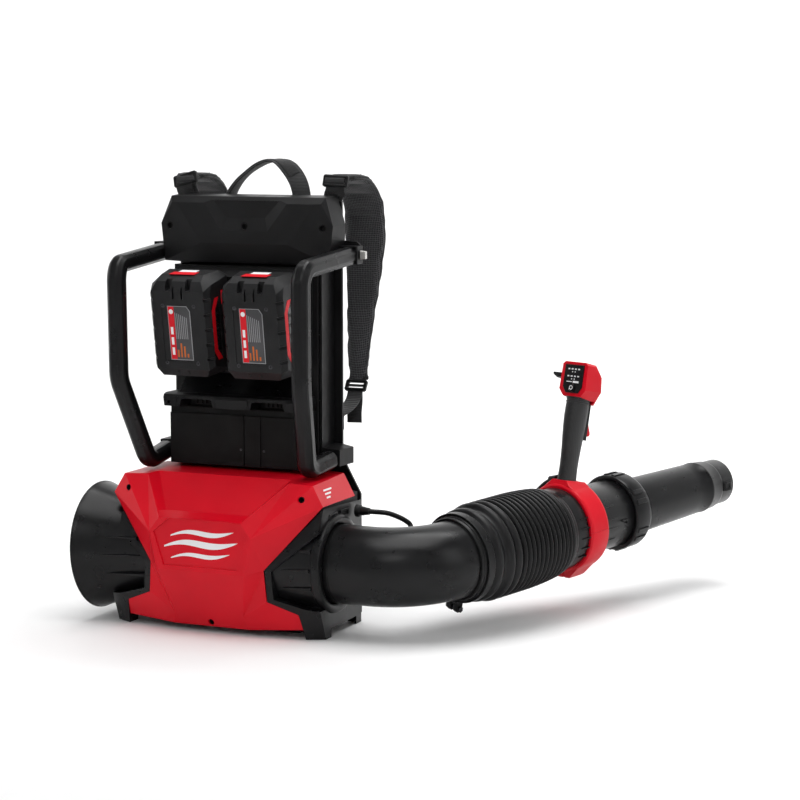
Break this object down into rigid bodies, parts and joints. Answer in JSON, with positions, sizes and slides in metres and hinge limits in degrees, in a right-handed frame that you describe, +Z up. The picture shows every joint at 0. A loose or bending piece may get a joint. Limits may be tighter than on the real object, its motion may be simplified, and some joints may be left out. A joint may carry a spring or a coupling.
{
  "type": "backpack leaf blower",
  "caption": "Battery powered backpack leaf blower: two packs on a harness frame, axial fan housing with red cover, ribbed hose, blow tube and pistol control handle.",
  "frame": {"origin": "on the ground, under the middle of the fan housing", "axes": "+Z up; +Y towards the wearer's back, the way the blow tube mostly points; +X towards the elbow and the tube"},
  "size_m": [0.7363, 0.6833, 0.6284],
  "materials": {
    "black_plastic": "moulded, fine grain",
    "red_plastic": "moulded, semi-gloss",
    "grey_plastic": "moulded",
    "black_rubber": "matt",
    "black_fabric": "woven nylon over foam",
    "steel": "satin"
  },
  "bodies": {
    "chassis": {"back_frame": "black_plastic", "head_cover": "black_plastic", "battery_panel": "black_plastic", "battery_dock": "black_plastic", "lower_panel": "black_plastic", "base_pan": "black_plastic", "rear_cover": "red_plastic", "outlet_shroud": "black_plastic", "intake_shroud": "black_plastic", "guard_bar_left": "black_plastic", "guard_bar_right": "black_plastic", "bar_bolt_left": "steel", "bar_bolt_right": "steel", "intake_bell": "black_plastic", "intake_guard": "black_plastic", "fan_duct": "black_plastic", "motor_mount": "black_plastic", "motor_can": "steel", "tail_cone": "black_plastic", "elbow_tube": "black_plastic", "cable_gland": "black_rubber", "hose_clamp": "black_plastic", "bellows_rear": "black_rubber", "cable_rear": "black_rubber", "cable_hose": "black_rubber", "back_pad": "black_fabric", "lumbar_pad": "black_fabric", "carry_handle": "black_fabric", "shoulder_pad_left": "black_fabric", "shoulder_pad_right": "black_fabric", "upper_webbing_left": "black_fabric", "upper_webbing_right": "black_fabric", "upper_buckle_left": "black_plastic", "upper_buckle_right": "black_plastic", "lower_webbing_left": "black_fabric", "lower_webbing_right": "black_fabric"},
    "fan": {"fan_rotor": "grey_plastic", "motor_shaft": "steel"},
    "battery_right": {"battery_right_case": "black_plastic"},
    "battery_left": {"battery_left_case": "black_plastic"},
    "right_latch_right": {"battery_right_latch_right": "red_plastic"},
    "right_latch_left": {"battery_right_latch_left": "red_plastic"},
    "left_latch_right": {"battery_left_latch_right": "red_plastic"},
    "left_latch_left": {"battery_left_latch_left": "red_plastic"},
    "hose": {"hose_ring": "black_rubber"},
    "tube": {"bellows_front": "black_rubber", "front_cuff": "black_plastic", "front_tube": "black_plastic", "cable_front": "black_rubber"},
    "collar": {"lock_collar": "black_plastic"},
    "nozzle": {"nozzle_tube": "black_plastic", "nozzle_tip": "black_plastic"},
    "handle": {"handle_clamp_upper": "red_plastic", "handle_clamp_lower": "red_plastic", "handle_grip": "black_rubber", "control_head": "red_plastic", "display_panel": "black_plastic"},
    "trigger": {"trigger": "red_plastic"},
    "button": {"power_button": "black_plastic"},
    "lever": {"thumb_lever": "black_plastic"}
  },
  "joints": [
    {"name": "fan_spin", "type": "hinge", "parent": "chassis", "child": "fan", "pos_m": [0, -0.046, 0.096], "axis": [1, 0, 0], "continuous": true},
    {"name": "battery_right_slide", "type": "slide", "parent": "chassis", "child": "battery_right", "axis": [0, -0.1478, 0.989], "range_m": [0, 0.12]},
    {"name": "battery_left_slide", "type": "slide", "parent": "chassis", "child": "battery_left", "axis": [0, -0.1478, 0.989], "range_m": [0, 0.12]},
    {"name": "right_latch_right_press", "type": "slide", "parent": "battery_right", "child": "right_latch_right", "axis": [-1, 0, 0], "range_m": [0, 0.0025], "stiffness_N_per_m": 500, "springref_m": -0.002},
    {"name": "right_latch_left_press", "type": "slide", "parent": "battery_right", "child": "right_latch_left", "axis": [1, 0, 0], "range_m": [0, 0.0025], "stiffness_N_per_m": 500, "springref_m": -0.002},
    {"name": "left_latch_right_press", "type": "slide", "parent": "battery_left", "child": "left_latch_right", "axis": [-1, 0, 0], "range_m": [0, 0.0025], "stiffness_N_per_m": 500, "springref_m": -0.002},
    {"name": "left_latch_left_press", "type": "slide", "parent": "battery_left", "child": "left_latch_left", "axis": [1, 0, 0], "range_m": [0, 0.0025], "stiffness_N_per_m": 500, "springref_m": -0.002},
    {"name": "hose_yaw", "type": "hinge", "parent": "chassis", "child": "hose", "pos_m": [0.34193, 0.12577, 0.11073], "axis": [-0.0295, -0.0736, 0.9969], "range_deg": [-20, 20], "deforming": ["bellows_rear", "cable_hose"]},
    {"name": "hose_pitch", "type": "hinge", "parent": "hose", "child": "tube", "pos_m": [0.34193, 0.12577, 0.11073], "axis": [-0.928, 0.3725, 0], "range_deg": [-30, 12], "deforming": ["bellows_front"]},
    {"name": "collar_turn", "type": "hinge", "parent": "tube", "child": "collar", "pos_m": [0.42177, 0.32466, 0.12778], "axis": [0.3714, 0.9251, 0.0793], "range_deg": [0, 40]},
    {"name": "nozzle_slide", "type": "slide", "parent": "tube", "child": "nozzle", "axis": [0.3714, 0.9251, 0.0793], "range_m": [-0.06, 0.02]},
    {"name": "handle_turn", "type": "hinge", "parent": "tube", "child": "handle", "pos_m": [0.38315, 0.22845, 0.11953], "axis": [0.3714, 0.9251, 0.0793], "range_deg": [-15, 15], "deforming": ["cable_front"]},
    {"name": "trigger_pull", "type": "hinge", "parent": "handle", "child": "trigger", "pos_m": [0.39433, 0.25631, 0.28555], "axis": [-0.928, 0.3725, 0], "range_deg": [0, 12], "stiffness_Nm_per_rad": 0.3, "springref_deg": -5.73},
    {"name": "power_press", "type": "slide", "parent": "handle", "child": "button", "axis": [0.3651, 0.9095, -0.1985], "range_m": [0, 0.0015], "stiffness_N_per_m": 400, "springref_m": -0.002},
    {"name": "lever_turn", "type": "hinge", "parent": "handle", "child": "lever", "pos_m": [0.39217, 0.25093, 0.32243], "axis": [-0.928, 0.3725, 0], "range_deg": [0, 45]}
  ]
}
